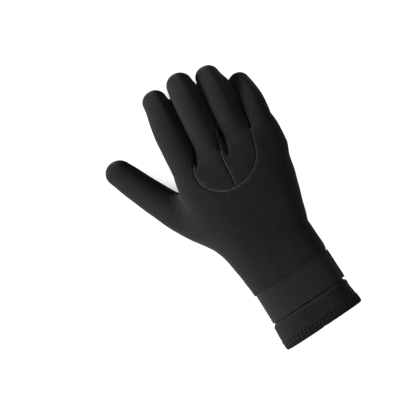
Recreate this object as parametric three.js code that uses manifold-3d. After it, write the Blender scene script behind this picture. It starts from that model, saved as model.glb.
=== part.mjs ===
// A right-hand diving glove of 3 mm neoprene, lying palm down in its own relaxed, pre-curved shape.
// Four sewn panels make the hollow hand: a back panel that also wraps the wrist, a palm panel with the
// grip print, and two insets over the middle and ring fingers. A ribbed elastic band is sewn round the
// wrist, and its hook tab closes on a loop patch on the palm side.
// +Y runs from the cuff to the fingertips, +X to the little finger and +Z up from the back of the hand.
// The origin is under the cuff, a little in from its edge, on the surface that the glove lies on.
import * as THREE from 'three';
import { mergeVertices } from 'three/addons/utils/BufferGeometryUtils.js';
import Module from 'manifold-3d';

const wasm = await Module();
wasm.setup();

// Driving sizes, in millimetres
const wall = 3;
const panelGap = 0.3;
const cuffWidth = 73.6;
const cuffHeight = 42;
const restInset = 10;
const handLength = 173;
const knuckleTop = 54;
const palmArch = 27;
const knuckleShift = 12.6;
const fingerWidth = 25;
const fingerReach = 72.3;
const fingerGap = 0.8;
const fingerRoot = 24;
const fingertipPress = 0.7;
const yokeDepth = 36.5;
const heelStart = 64.5;
const heelRise = 36;
const strapStart = 24;
const strapWidth = 27;
const strapThickness = 1.6;
const strapRibs = 12;
const strapRibDepth = 0.4;
const strapPinch = 4.4;
const strapDip = 3.3;
const waistSlope = 3;
const tabThickness = 1.9;
const tabCornerRadius = 5;
const patchMargin = 0.8;

// Fingers from the thumb's side. width and bow are shares of fingerWidth, reach, from the crotch line to
// the tip as seen from above, is one of fingerReach, and height, of its middle at the crotch line, is
// one of knuckleTop. turn is from the wrist's axis, in degrees.
const fingers = [
  { name: 'index', width: 1.00, reach: 0.982, turn: 8.0, height: 0.722, bow: 0 },
  { name: 'middle', width: 1.00, reach: 1.000, turn: 7.6, height: 0.750, bow: 0 },
  { name: 'ring', width: 0.92, reach: 0.885, turn: 7.3, height: 0.741, bow: 0 },
  { name: 'little', width: 0.84, reach: 0.603, turn: 4.4, height: 0.713, bow: 0.072 },
];

// The thumb leaves the palm on its own line. Its base is a share of the cuff's half width across and
// of the hand's length along.
const thumb = {
  name: 'thumb', width: 1.20, reach: 1.770, turn: -25.2, height: 0.389, bow: -0.12,
  across: -0.605, along: 0.549,
};

// Outline of the hand from the cuff to the crotches. along is a share of handLength. hand blends the
// cuff's width and height (0) into those of the knuckles (1), and width and top are shares of that
// blend. lean is a share of knuckleShift and arch, the underside's height, one of palmArch.
const handTable = [
  { along: 0.000, hand: 0.0, lean: 0.00, width: 1.000, arch: -0.05, top: 1.000 },
  { along: 0.070, hand: 0.0, lean: 0.00, width: 0.985, arch: -0.05, top: 0.990 },
  { along: 0.350, hand: 0.0, lean: 0.10, width: 0.970, arch: -0.04, top: 0.975 },
  { along: 0.440, hand: 0.0, lean: 0.03, width: 0.990, arch: -0.05, top: 0.985 },
  { along: 0.530, hand: 0.2, lean: 0.12, width: 0.996, arch: -0.04, top: 0.975 },
  { along: 0.630, hand: 0.5, lean: 0.22, width: 1.025, arch: 0.00, top: 0.970 },
  { along: 0.722, hand: 0.75, lean: 0.33, width: 1.043, arch: 0.12, top: 0.980 },
  { along: 0.803, hand: 0.9, lean: 0.50, width: 1.030, arch: 0.29, top: 0.993 },
  { along: 0.878, hand: 1.0, lean: 0.75, width: 1.012, arch: 0.52, top: 1.000 },
  { along: 0.935, hand: 1.0, lean: 0.90, width: 1.000, arch: 0.76, top: 0.988 },
  { along: 0.970, hand: 1.0, lean: 0.97, width: 0.960, arch: 0.92, top: 0.960 },
  { along: 0.992, hand: 1.0, lean: 1.00, width: 0.900, arch: 1.07, top: 0.905 },
  { along: 1.006, hand: 1.0, lean: 1.00, width: 0.820, arch: 1.25, top: 0.820 },
];
const cuffSquareness = 2.2;
const palmSquareness = 2.6;

// Girth of a finger along its middle line, from its root inside the palm (-1) over the crotch line (0)
// to the middle of its round tip (1), as a share of its width.
const fingerTable = [
  { along: -1.00, girth: 0.84 },
  { along: -0.40, girth: 0.94 },
  { along: 0.00, girth: 0.985 },
  { along: 0.30, girth: 1.000 },
  { along: 0.56, girth: 0.985 },
  { along: 0.80, girth: 0.950 },
  { along: 1.00, girth: 0.910 },
];
const thumbTable = [
  { along: -1.00, girth: 0.74 },
  { along: 0.00, girth: 0.92 },
  { along: 0.22, girth: 0.97 },
  { along: 0.45, girth: 0.99 },
  { along: 0.60, girth: 0.93 },
  { along: 0.76, girth: 0.86 },
  { along: 0.90, girth: 0.81 },
  { along: 1.00, girth: 0.76 },
];
const tipDegrees = [25, 48, 68];
const digitFlatness = 0.94;
const fingerCurl = 2.2;
const thumbCurl = 1.1;
const rootSlope = 0.18;

// The yoke's seam round the middle and ring fingers' insets. across runs from the index crotch (0) to
// the little finger's (1), and down from the crotch line (0) to the yoke's depth (1).
const yokeTable = [
  { across: -0.115, down: 0.045 },
  { across: -0.185, down: 0.225 },
  { across: -0.205, down: 0.405 },
  { across: -0.17, down: 0.595 },
  { across: -0.105, down: 0.74 },
  { across: 0, down: 0.875 },
  { across: 0.11, down: 0.955 },
  { across: 0.23, down: 0.99 },
  { across: 0.34, down: 1 },
  { across: 0.48, down: 0.98 },
  { across: 0.62, down: 0.912 },
  { across: 0.75, down: 0.79 },
  { across: 0.85, down: 0.633 },
  { across: 0.925, down: 0.414 },
  { across: 0.985, down: 0.178 },
  { across: 1, down: 0.05 },
];

// The seam between the two insets, from the yoke's bottom to the middle finger's crotch.
const insetSeamTable = [
  { across: 0.27, down: 1.08 },
  { across: 0.316, down: 0.64 },
  { across: 0.34, down: 0.365 },
  { across: 0.378, down: 0.137 },
];

// The palm panel's edge at the heel of the hand. across is a share of the cuff's half width and rise
// one of heelRise.
const heelTable = [
  { across: -3.00, rise: 1.30 },
  { across: -1.06, rise: 1.00 },
  { across: -0.84, rise: 0.76 },
  { across: -0.55, rise: 0.42 },
  { across: -0.30, rise: 0.24 },
  { across: 0.00, rise: 0.12 },
  { across: 0.50, rise: 0.03 },
  { across: 1.00, rise: 0.00 },
  { across: 4.00, rise: 0.00 },
];

const handSides = 30;
const digitSides = 16;
const cutMargin = 1;
const reachBeyond = 40;
const radians = THREE.MathUtils.degToRad;
const lerp = THREE.MathUtils.lerp;

// Colours as the photograph shows them
const jersey = { color: 0x242527, roughness: 0.92, metalness: 0 };
const grip = { color: 0x151516, roughness: 0.78, metalness: 0 };
const webbing = { color: 0x2b2c2f, roughness: 0.85, metalness: 0 };
const hook = { color: 0x1d1e20, roughness: 0.85, metalness: 0 };
const loop = { color: 0x18191b, roughness: 0.95, metalness: 0 };

// A digit's row with its shares turned into lengths.
const lengthsOf = (digit) => ({
  ...digit,
  width: digit.width * fingerWidth,
  bow: digit.bow * fingerWidth,
  reach: digit.reach * fingerReach,
  height: digit.height * knuckleTop,
});

// Where the fingers stand on the crotch line: side by side, turned, with a gap between them.
const fingerSizes = fingers.map(lengthsOf);
const footprints = fingerSizes.map((f) => f.width / Math.cos(radians(f.turn)));
const rowWidth = footprints.reduce((sum, w) => sum + w, 0) + fingerGap * (fingers.length - 1);
let nextEdge = knuckleShift - rowWidth / 2;
const digits = fingerSizes.map((f, i) => {
  const x = nextEdge + footprints[i] / 2;
  nextEdge += footprints[i] + fingerGap;
  return {
    ...f, base: new THREE.Vector2(x, handLength), root: fingerRoot, curl: fingerCurl, table: fingerTable,
  };
});
const crotches = digits.slice(1).map((d, i) => (
  digits[i].base.x + footprints[i] / 2 + d.base.x - footprints[i + 1] / 2) / 2);
digits.push({
  ...lengthsOf(thumb),
  base: new THREE.Vector2((thumb.across * cuffWidth) / 2, thumb.along * handLength),
  root: fingerRoot,
  curl: thumbCurl,
  table: thumbTable,
});

// A closed body from rings of equal length, each end closed by a point or by a fan to its middle.
function loft(rings, startPoint, endPoint) {
  const count = rings[0].length;
  const points = rings.flat();
  const faces = [];
  for (let r = 0; r + 1 < rings.length; r += 1) {
    for (let j = 0; j < count; j += 1) {
      const a = r * count + j;
      const b = r * count + ((j + 1) % count);
      faces.push(a, b, a + count, b, b + count, a + count);
    }
  }
  const middle = (ring) => ring.reduce((sum, p) => sum.add(p), new THREE.Vector3()).divideScalar(count);
  const start = points.push(startPoint ?? middle(rings[0])) - 1;
  const end = points.push(endPoint ?? middle(rings[rings.length - 1])) - 1;
  const last = (rings.length - 1) * count;
  for (let j = 0; j < count; j += 1) {
    faces.push(start, (j + 1) % count, j);
    faces.push(end, last + j, last + ((j + 1) % count));
  }
  return solidFrom(points, faces);
}

// A manifold solid from points and triangles, turned so that its faces point out.
function solidFrom(points, faces) {
  const geometry = new THREE.BufferGeometry().setFromPoints(points);
  geometry.setIndex(faces);
  return solidFromGeometry(geometry);
}

function solidFromGeometry(source) {
  const geometry = source.clone();
  geometry.deleteAttribute('normal');
  geometry.deleteAttribute('uv');
  const merged = mergeVertices(geometry, 1e-4);
  const position = merged.getAttribute('position');
  const triangles = Array.from(merged.index.array);
  if (signedVolume(position, triangles) < 0) triangles.reverse();
  return new wasm.Manifold(new wasm.Mesh({
    numProp: 3,
    vertProperties: new Float32Array(position.array),
    triVerts: new Uint32Array(triangles),
  }));
}

function signedVolume(position, triangles) {
  const [a, b, c] = [new THREE.Vector3(), new THREE.Vector3(), new THREE.Vector3()];
  let volume = 0;
  for (let i = 0; i < triangles.length; i += 3) {
    a.fromBufferAttribute(position, triangles[i]);
    b.fromBufferAttribute(position, triangles[i + 1]);
    c.fromBufferAttribute(position, triangles[i + 2]);
    volume += a.dot(b.cross(c)) / 6;
  }
  return volume;
}

function geometryOf(manifold) {
  const mesh = manifold.getMesh();
  const geometry = new THREE.BufferGeometry();
  geometry.setAttribute('position', new THREE.BufferAttribute(new Float32Array(mesh.vertProperties), 3));
  geometry.setIndex(new THREE.BufferAttribute(new Uint32Array(mesh.triVerts), 1));
  const flat = geometry.toNonIndexed();
  flat.computeVertexNormals();
  return flat;
}

const union = (solids) => solids.reduce((all, solid) => all.add(solid));

// One row of the hand's table as real sizes: place along, middle, half width, underside and top.
function handRow(row) {
  const topSize = lerp(cuffHeight, knuckleTop, row.hand);
  return {
    y: row.along * handLength,
    x: row.lean * knuckleShift,
    half: (row.width * lerp(cuffWidth, rowWidth, row.hand)) / 2,
    low: row.arch * palmArch,
    high: row.top * topSize,
    square: lerp(cuffSquareness, palmSquareness, row.hand),
  };
}

// The strap squeezes the wrist into a waist of its own width, between two short slopes.
const strapEnd = strapStart + strapWidth;
const plainRows = handTable.map(handRow);
const belowWaist = rowBetween(plainRows, strapStart - waistSlope);
const aboveWaist = rowBetween(plainRows, strapEnd + waistSlope);
const waistRows = [rowBetween(plainRows, strapStart), rowBetween(plainRows, strapEnd)].map((row) => ({
  ...row, half: row.half - strapDip, low: strapPinch, high: row.high - strapDip,
}));
const handRows = [
  ...plainRows.filter((row) => row.y < belowWaist.y),
  belowWaist, ...waistRows, aboveWaist,
  ...plainRows.filter((row) => row.y > aboveWaist.y),
];

function rowBetween(rows, y) {
  const above = Math.max(1, rows.findIndex((row) => row.y >= y));
  const [a, b] = [rows[above - 1], rows[above]];
  const t = (y - a.y) / (b.y - a.y);
  const mixed = { y };
  for (const key of ['x', 'half', 'low', 'high', 'square']) mixed[key] = lerp(a[key], b[key], t);
  return mixed;
}

// A point of the hand's section, inset from its outside; a negative inset grows it.
function sectionPoint(row, angle, inset) {
  const rounded = (v) => Math.sign(v) * Math.abs(v) ** (2 / row.square);
  const middle = (row.low + row.high) / 2;
  return new THREE.Vector3(
    row.x + (row.half - inset) * rounded(Math.cos(angle)),
    row.y,
    middle + ((row.high - row.low) / 2 - inset) * rounded(Math.sin(angle)),
  );
}

// What lies on the floor is pressed flat there; the inside keeps the wall's thickness above it.
function pressed(point, inset) {
  if (inset >= 0) point.setZ(Math.max(point.z, inset));
  return point;
}

function handSolid(inset) {
  const rows = inset > 0
    ? [{ ...handRows[0], y: handRows[0].y - cutMargin }, ...handRows.slice(1)]
    : handRows;
  return loft(rows.map((row, r) => {
    const end = r === rows.length - 1 && inset > 0 ? inset : 0;
    const ring = Array.from({ length: handSides }, (_, j) => (
      pressed(sectionPoint(row, (j / handSides) * 2 * Math.PI, inset), inset)));
    ring.forEach((p) => p.setY(p.y - end));
    return ring;
  }));
}

// The lower half of the hand, grown past its outside, with its flat top at the side seam.
function handLowerHalf(raise) {
  return loft(handRows.map((row) => Array.from({ length: handSides }, (_, j) => {
    const p = sectionPoint(row, (j / handSides) * 2 * Math.PI, -cutMargin);
    return p.setZ(Math.min(p.z, (row.low + row.high) / 2 + raise));
  })));
}

const tipRadius = (digit) => (digit.width * digit.table[digit.table.length - 1].girth) / 2;
const tipHeight = (digit) => tipRadius(digit) * digitFlatness - fingertipPress;

// A digit's middle line. distance is measured from its base, as seen from above.
function digitCentre(digit, distance) {
  const length = digit.reach - tipRadius(digit);
  const t = distance / length;
  const turn = radians(digit.turn);
  const side = t > 0 ? digit.bow * Math.sin(Math.PI * Math.min(t, 1)) : 0;
  const drop = digit.height - tipHeight(digit);
  return new THREE.Vector3(
    digit.base.x + distance * Math.sin(turn) + side * Math.cos(turn),
    digit.base.y + distance * Math.cos(turn) - side * Math.sin(turn),
    t > 0 ? digit.height - drop * t ** digit.curl : digit.height + rootSlope * distance,
  );
}

function digitFrame(digit, distance) {
  const step = 0.5;
  const forward = digitCentre(digit, distance + step / 2).sub(digitCentre(digit, distance - step / 2));
  forward.normalize();
  const side = new THREE.Vector3(forward.y, -forward.x, 0).normalize();
  const up = new THREE.Vector3().crossVectors(side, forward);
  return { centre: digitCentre(digit, distance), forward, side, up };
}

// Rings of a digit. raise, where given, cuts each ring flat at the side seam.
function digitRings(digit, inset, raise) {
  const length = digit.reach - tipRadius(digit);
  const stations = digit.table.map((row) => ({
    distance: row.along < 0 ? row.along * digit.root : row.along * length,
    radius: (digit.width * row.girth) / 2,
    ahead: 0,
    shrink: 1,
  }));
  const tip = stations[stations.length - 1];
  for (const degrees of tipDegrees) {
    stations.push({ ...tip, ahead: Math.sin(radians(degrees)), shrink: Math.cos(radians(degrees)) });
  }
  return stations.map((s) => {
    const { centre, forward, side, up } = digitFrame(digit, s.distance);
    const radius = (s.radius - inset) * s.shrink;
    const middle = centre.addScaledVector(forward, s.ahead * (tip.radius - inset));
    return Array.from({ length: digitSides }, (_, j) => {
      const angle = (j / digitSides) * 2 * Math.PI;
      const rise = (s.radius * digitFlatness - inset) * s.shrink * Math.sin(angle);
      const p = middle.clone().addScaledVector(side, radius * Math.cos(angle));
      return pressed(p.addScaledVector(up, raise === undefined ? rise : Math.min(rise, raise)), inset);
    });
  });
}

function digitSolid(digit, inset, raise) {
  const { centre, forward } = digitFrame(digit, digit.reach - tipRadius(digit));
  const end = pressed(centre.addScaledVector(forward, tipRadius(digit) - inset), inset);
  return loft(digitRings(digit, inset, raise), undefined, end);
}

// A prism through the whole glove over an outline drawn from above.
function prism(points) {
  const shape = new THREE.Shape(points);
  const depth = knuckleTop + 2 * reachBeyond;
  const geometry = new THREE.ExtrudeGeometry(shape, { depth, bevelEnabled: false });
  return solidFromGeometry(geometry.translate(0, 0, -reachBeyond));
}

// The outline moved sideways by a distance, to its right as it is walked.
function shifted(points, distance) {
  return points.map((p, i) => {
    const before = points[Math.max(0, i - 1)];
    const after = points[Math.min(points.length - 1, i + 1)];
    const along = after.clone().sub(before).normalize();
    return new THREE.Vector2(p.x + along.y * distance, p.y - along.x * distance);
  });
}

const smooth = (points, count) => new THREE.SplineCurve(points).getPoints(count);

// From a crotch, the line between two fingers to a point beyond their tips.
function gapLine(left) {
  const [a, b] = [digits[left], digits[left + 1]];
  const start = new THREE.Vector2(crotches[left], handLength);
  const turn = radians((a.turn + b.turn) / 2);
  const middle = (distance) => start.clone().add(
    new THREE.Vector2(Math.sin(turn), Math.cos(turn)).multiplyScalar(distance));
  return [start, middle(Math.max(a.reach, b.reach) + reachBeyond)];
}

const yokePoint = ({ across, down }) => new THREE.Vector2(
  lerp(crotches[0], crotches[2], across), handLength - down * yokeDepth);

function yokeLine() {
  return [...gapLine(0).reverse(), ...smooth(yokeTable.map(yokePoint), 28), ...gapLine(2)];
}

function insetSeam() {
  return [...smooth(insetSeamTable.map(yokePoint), 8), ...gapLine(1)];
}

// The palm's region: the lower halves of the hand and digits, ahead of the heel's edge.
function palmRegion(gap) {
  const heel = smooth(heelTable.map(({ across, rise }) => new THREE.Vector2(
    (across * cuffWidth) / 2, heelStart + rise * heelRise - gap)), 24);
  const ahead = handLength + digits[1].reach + reachBeyond;
  const outline = [...heel, new THREE.Vector2(heel[heel.length - 1].x, ahead),
    new THREE.Vector2(heel[0].x, ahead)];
  const halves = digits.map((digit) => digitSolid(digit, -cutMargin, gap));
  return union([handLowerHalf(gap), ...halves]).intersect(prism(outline));
}

const outside = union([handSolid(0), ...digits.map((digit) => digitSolid(digit, 0))]);
const inside = union([handSolid(wall), ...digits.map((digit) => digitSolid(digit, wall))]);
const shell = outside.subtract(inside);
const palm = shell.intersect(palmRegion(0));
const rest = shell.subtract(palmRegion(panelGap));
const back = rest.subtract(prism(shifted(yokeLine(), panelGap / 2)));
const insets = rest.intersect(prism(shifted(yokeLine(), -panelGap / 2)));
const seam = insetSeam();
const seamSide = (distance, x) => {
  const line = shifted(seam, distance);
  return [...line, new THREE.Vector2(x, line[line.length - 1].y), new THREE.Vector2(x, line[0].y)];
};
const middleInset = insets.intersect(prism(seamSide(-panelGap / 2, -rowWidth)));
const ringInset = insets.intersect(prism(seamSide(panelGap / 2, 2 * rowWidth)));

// A band of the given profile swept round the wrist between two angles, with both ends closed.
// Angles start at the little finger's side and run over the back of the hand. profile gives, at a share
// of the sweep, points of [place along the wrist, distance off the neoprene].
function wrap(from, to, steps, profile) {
  const rings = Array.from({ length: steps + 1 }, (_, i) => {
    const angle = radians(lerp(from, to, i / steps));
    return profile(i / steps).map(([y, off]) => sectionPoint(rowBetween(handRows, y), angle, -off));
  });
  const count = rings[0].length;
  const faces = [];
  for (let r = 0; r < steps; r += 1) {
    for (let j = 0; j < count; j += 1) {
      const a = r * count + j;
      const b = r * count + ((j + 1) % count);
      faces.push(a, b, a + count, b, b + count, a + count);
    }
  }
  const outline = profile(0).map(([y, off]) => new THREE.Vector2(y, off));
  for (const [a, b, c] of THREE.ShapeUtils.triangulateShape(outline, [])) {
    const last = steps * count;
    faces.push(c, b, a, last + a, last + b, last + c);
  }
  return solidFrom(rings.flat(), faces);
}

const bandSteps = 22;
const patchSteps = 10;
const strapInner = panelGap;
const strapOuter = strapInner + strapThickness;
const bandFrom = -22;
const bandTo = 209;
const patchFrom = 212;
const patchTo = 296;
const tabFrom = 231;
const tabTo = 346;

// The elastic band: flat inside, with ribs along its outside.
function bandProfile() {
  const pitch = strapWidth / strapRibs;
  const crest = 0.62;
  const outer = [];
  for (let rib = strapRibs - 1; rib >= 0; rib -= 1) {
    const start = strapStart + rib * pitch;
    outer.push([start + pitch * (0.5 + crest / 2), strapOuter]);
    outer.push([start + pitch * (0.5 - crest / 2), strapOuter]);
    if (rib > 0) outer.push([start, strapOuter - strapRibDepth]);
  }
  return [[strapStart, strapInner], [strapEnd, strapInner], ...outer];
}

function flatProfile(start, end, inner, outer) {
  return [[start, inner], [end, inner], [end, outer], [start, outer]];
}

// The tab's free end is rounded: its edges draw in over the first steps of the sweep.
const tabSteps = 16;
function tabProfile(share) {
  const inner = strapOuter + panelGap;
  const sweep = (radians(tabTo - tabFrom) * cuffWidth) / 2;
  const left = Math.min(share * sweep, tabCornerRadius);
  const drawn = tabCornerRadius - Math.sqrt(tabCornerRadius ** 2 - (tabCornerRadius - left) ** 2);
  return flatProfile(strapStart + drawn, strapEnd - drawn, inner, inner + tabThickness);
}

const band = wrap(bandFrom, bandTo, bandSteps, bandProfile);
const tab = wrap(tabFrom, tabTo, tabSteps, tabProfile);
const patch = wrap(patchFrom, patchTo, patchSteps, () => (
  flatProfile(strapStart + patchMargin, strapEnd - patchMargin, strapInner, strapOuter)));

function part(name, manifold, finish) {
  const mesh = new THREE.Mesh(geometryOf(manifold), new THREE.MeshStandardMaterial(finish));
  mesh.name = name;
  return mesh;
}

const glove = new THREE.Group();
glove.add(
  part('back_panel', back, jersey),
  part('palm_panel', palm, grip),
  part('middle_finger_inset', middleInset, jersey),
  part('ring_finger_inset', ringInset, jersey),
  part('wrist_band', band, webbing),
  part('hook_tab', tab, hook),
  part('loop_patch', patch, loop),
);
glove.position.y = -restInset;

export default glove;
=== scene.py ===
# A right-hand diving glove of 3 mm neoprene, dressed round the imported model.
# Every shape is worked out in millimetres from the cuff's edge, and moved to the model's frame when its
# mesh is made.
import math

import bpy
import numpy as np
import openvdb
from mathutils import Matrix, Vector


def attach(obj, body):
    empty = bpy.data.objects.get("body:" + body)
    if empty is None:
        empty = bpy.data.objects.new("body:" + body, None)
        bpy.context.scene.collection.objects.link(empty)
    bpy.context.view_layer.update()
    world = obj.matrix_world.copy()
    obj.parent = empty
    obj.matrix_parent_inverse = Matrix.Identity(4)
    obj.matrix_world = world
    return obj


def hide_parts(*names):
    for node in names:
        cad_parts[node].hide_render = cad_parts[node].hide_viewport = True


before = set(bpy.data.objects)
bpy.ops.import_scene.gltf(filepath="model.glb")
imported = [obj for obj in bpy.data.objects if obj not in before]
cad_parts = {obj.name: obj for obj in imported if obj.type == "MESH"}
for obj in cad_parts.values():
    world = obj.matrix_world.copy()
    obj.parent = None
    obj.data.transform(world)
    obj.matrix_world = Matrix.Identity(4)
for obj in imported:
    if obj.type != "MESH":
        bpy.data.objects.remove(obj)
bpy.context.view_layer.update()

# Sizes of the glove, in millimetres. Finger reach and tips, cuff squareness, strap waist and rib depth
# differ from the source's
WALL = 3.0
CUFF_WIDTH, CUFF_HEIGHT = 73.6, 42.0
REST_INSET = 10.0
HAND_LENGTH, KNUCKLE_TOP = 173.0, 54.0
PALM_ARCH, KNUCKLE_SHIFT = 27.0, 12.6
FINGER_WIDTH, FINGER_REACH, FINGER_GAP, FINGER_ROOT = 25.0, 72.3, 0.8, 24.0
TIP_PRESS, DIGIT_FLATNESS, FINGER_CURL, THUMB_CURL, ROOT_SLOPE = 0.7, 0.94, 2.2, 1.1, 0.18
YOKE_DEPTH = 36.5
HEEL_START, HEEL_RISE = 64.5, 36.0
STRAP_START, STRAP_WIDTH, STRAP_THICK = 24.0, 27.0, 1.6
STRAP_END = STRAP_START + STRAP_WIDTH
STRAP_PINCH, STRAP_DIP = 4.8, 2.85
# The neoprene's rise beside the strap, towards the cuff and towards the hand
CUFF_SLOPE, HAND_SLOPE = 3.5, 0.9
STRAP_RIBS, RIB_DEPTH = 12, 0.95
TAB_THICK, TAB_CORNER = 1.9, 5.0
PATCH_MARGIN = 0.8
# Angles round the wrist, in degrees from the little finger's side
BAND_FROM, BAND_TO = -22, 209
RIBS_FROM, RIBS_FULL = 48, 62
TAB_FROM, TAB_TO = 231, 346
PATCH_FROM, PATCH_TO = 212, 296
LAYER_GAP = 0.3
REACH_BEYOND = 40.0

# width, reach, turn, height, bow
FINGERS = [
    (1.00, 0.996, 8.0, 0.722, 0.0),
    (1.00, 1.008, 7.6, 0.750, 0.0),
    (0.92, 0.893, 7.3, 0.741, 0.0),
    (0.84, 0.617, 4.4, 0.713, 0.072),
]
THUMB = (1.20, 1.770, -25.2, 0.389, -0.12)
# How much narrower the worn fingertips are than the table says; what they lose is on the thumb's side
TIP_SHARES = (0.92, 0.98, 1.0, 1.0, 1.0)
THUMB_ACROSS, THUMB_ALONG = -0.605, 0.549

# along, hand, lean, width, arch, top
HAND_TABLE = [
    (0.000, 0.00, 0.00, 1.000, -0.05, 1.000),
    (0.070, 0.00, 0.00, 0.985, -0.05, 0.990),
    (0.350, 0.00, 0.10, 0.970, -0.04, 0.975),
    (0.440, 0.00, 0.03, 0.990, -0.05, 0.985),
    (0.530, 0.20, 0.12, 0.996, -0.04, 0.975),
    (0.630, 0.50, 0.22, 1.025, 0.00, 0.970),
    (0.722, 0.75, 0.33, 1.043, 0.12, 0.980),
    (0.803, 0.90, 0.50, 1.030, 0.29, 0.993),
    (0.878, 1.00, 0.75, 1.012, 0.52, 1.000),
    (0.935, 1.00, 0.90, 1.000, 0.76, 0.988),
    (0.970, 1.00, 0.97, 0.960, 0.92, 0.960),
    (0.992, 1.00, 1.00, 0.900, 1.07, 0.905),
    (1.006, 1.00, 1.00, 0.820, 1.25, 0.820),
]
CUFF_SQUARENESS, PALM_SQUARENESS = 2.7, 2.6
FINGER_TABLE = [
    (-1.00, 0.840), (-0.40, 0.940), (0.00, 0.985), (0.30, 1.000),
    (0.56, 0.985), (0.80, 0.950), (1.00, 0.910),
]
THUMB_TABLE = [
    (-1.00, 0.74), (0.00, 0.92), (0.22, 0.97), (0.45, 0.99),
    (0.60, 0.93), (0.76, 0.86), (0.90, 0.81), (1.00, 0.76),
]
# across, down
YOKE_TABLE = [
    (-0.115, 0.045), (-0.185, 0.225), (-0.205, 0.405), (-0.17, 0.595), (-0.105, 0.74), (0.0, 0.875),
    (0.11, 0.955), (0.23, 0.99), (0.34, 1.0), (0.48, 0.98), (0.62, 0.912), (0.75, 0.79), (0.85, 0.633),
    (0.925, 0.414), (0.985, 0.178), (1.0, 0.05),
]
INSET_SEAM_TABLE = [(0.27, 1.08), (0.316, 0.64), (0.34, 0.365), (0.378, 0.137)]
# across, rise
HEEL_TABLE = [
    (-3.00, 1.30), (-1.06, 1.00), (-0.84, 0.76), (-0.55, 0.42), (-0.30, 0.24),
    (0.00, 0.12), (0.50, 0.03), (1.00, 0.00), (4.00, 0.00),
]

# Folds where the fingers part, and the small pleat beside the middle pocket, which stands up
# line, depth, width
FOLD_TABLE = [
    ([(-14.6, 170.0), (-12.4, 175.0), (-10.0, 181.0)], 2.6, 1.9),
    ([(12.8, 164.5), (15.0, 171.5), (17.0, 178.5)], 2.5, 1.6),
    ([(8.2, 171.0), (11.4, 178.5), (13.0, 184.0)], 1.3, 0.9),
    ([(40.6, 171.5), (42.8, 179.3), (44.5, 190.0)], 1.6, 1.3),
    ([(9.2, 168.5), (12.3, 176.0), (15.2, 183.5)], -1.5, 1.3),
]
# Where the outline is slimmer, or fuller where the depth is below 0; side is 1 for the little finger's
# depth, place, spread, side, inner edge, outer edge
OUTLINE_TABLE = [
    (2.6, 99.0, 17.0, -1, 24.0, 42.0),
    (0.7, 17.0, 4.5, 1, 15.0, 32.0),
    (-0.6, 10.0, 8.0, -1, 15.0, 30.0),
    (-0.6, 64.0, 6.0, -1, 15.0, 30.0),
    (0.7, 80.5, 3.2, 1, 18.0, 36.0),
]
# The little finger's side is fuller all along the palm
ULNAR_FULLNESS = 0.65
# Slight slack in the neoprene, in two sizes
SLACK, SMALL_SLACK = 0.22, 0.12

# Threads, with the overlock at the hem, and the rubber dots of the grip
THREAD, TAB_THREAD = 0.28, 0.26
SEAM_PITCH, SEAM_HALF, SEAM_LIFT = 1.8, 0.7, 0.25
HEEL_PITCH, HEEL_HALF, HEEL_LIFT = 2.1, 0.6, 0.2
TAB_PITCH, TAB_MARGIN = 2.3, 2.4
HEM_PITCH, HEM_HEIGHT, HEM_RADIUS, KNOT_RADIUS = 3.6, 6.6, 0.3, 0.42
# How far a pair of the overlock's strokes lies apart at the edge, and closes on the way to its knot
HEM_APART, HEM_CLOSING = 0.28, 0.36
# place, off
HEM_STROKE = np.array([
    (0.9, -WALL - 0.2), (-0.4, -WALL + 0.4), (-0.6, -0.5), (0.5, 0.0),
    (2.2, 0.0), (3.8, 0.0), (5.6, 0.0), (HEM_HEIGHT, 0.0),
])
CELL, CELL_FILL = 6.4, 0.8
DOT_PITCH, DOT_RADIUS, DOT_HEIGHT, DOT_SINK, DOT_SIDES = 1.45, 0.48, 0.32, 0.1, 6

VOXEL = 0.95


# Curves through tables

def monotone(x, knots, values):
    """A smooth curve through a table's column that doesn't overshoot its rows."""
    x = np.asarray(x, float)
    step = np.diff(knots)
    slope = np.diff(values) / step
    tangent = np.zeros(len(knots))
    tangent[0], tangent[-1] = slope[0], slope[-1]
    for i in range(1, len(knots) - 1):
        if slope[i - 1] * slope[i] > 0:
            tangent[i] = 2 / (1 / slope[i - 1] + 1 / slope[i])
    k = np.clip(np.searchsorted(knots, x) - 1, 0, len(step) - 1)
    t = np.clip((x - knots[k]) / step[k], 0, 1)
    a, b = values[k], values[k + 1]
    ta, tb = tangent[k] * step[k], tangent[k + 1] * step[k]
    return (a * (1 + 2 * t) * (1 - t) ** 2 + ta * t * (1 - t) ** 2
            + b * t * t * (3 - 2 * t) + tb * t * t * (t - 1))


def spline(points, count):
    """A Catmull-Rom curve through plan points."""
    p = np.asarray(points, float)
    p = np.vstack([2 * p[0] - p[1], p, 2 * p[-1] - p[-2]])
    u = np.linspace(0, len(p) - 3, count + 1)
    k = np.minimum(u.astype(int), len(p) - 4)
    t = (u - k)[:, None]
    a, b, c, d = p[k], p[k + 1], p[k + 2], p[k + 3]
    return 0.5 * (2 * b + (c - a) * t + (2 * a - 5 * b + 4 * c - d) * t ** 2
                  + (3 * b - 3 * c + d - a) * t ** 3)


def smooth_min(a, b, k):
    h = np.maximum(k - np.abs(a - b), 0) / k
    return np.minimum(a, b) - h * h * k / 4


def smooth_max(a, b, k):
    return -smooth_min(-a, -b, k)


def ramp(x, start, end):
    t = np.clip((x - start) / (end - start), 0, 1)
    return t * t * (3 - 2 * t)


# The hand's sections: place, middle, half width, underside, top, squareness

footprints = [w * FINGER_WIDTH / math.cos(math.radians(turn)) for w, _, turn, _, _ in FINGERS]
row_width = sum(footprints) + FINGER_GAP * (len(FINGERS) - 1)


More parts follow.
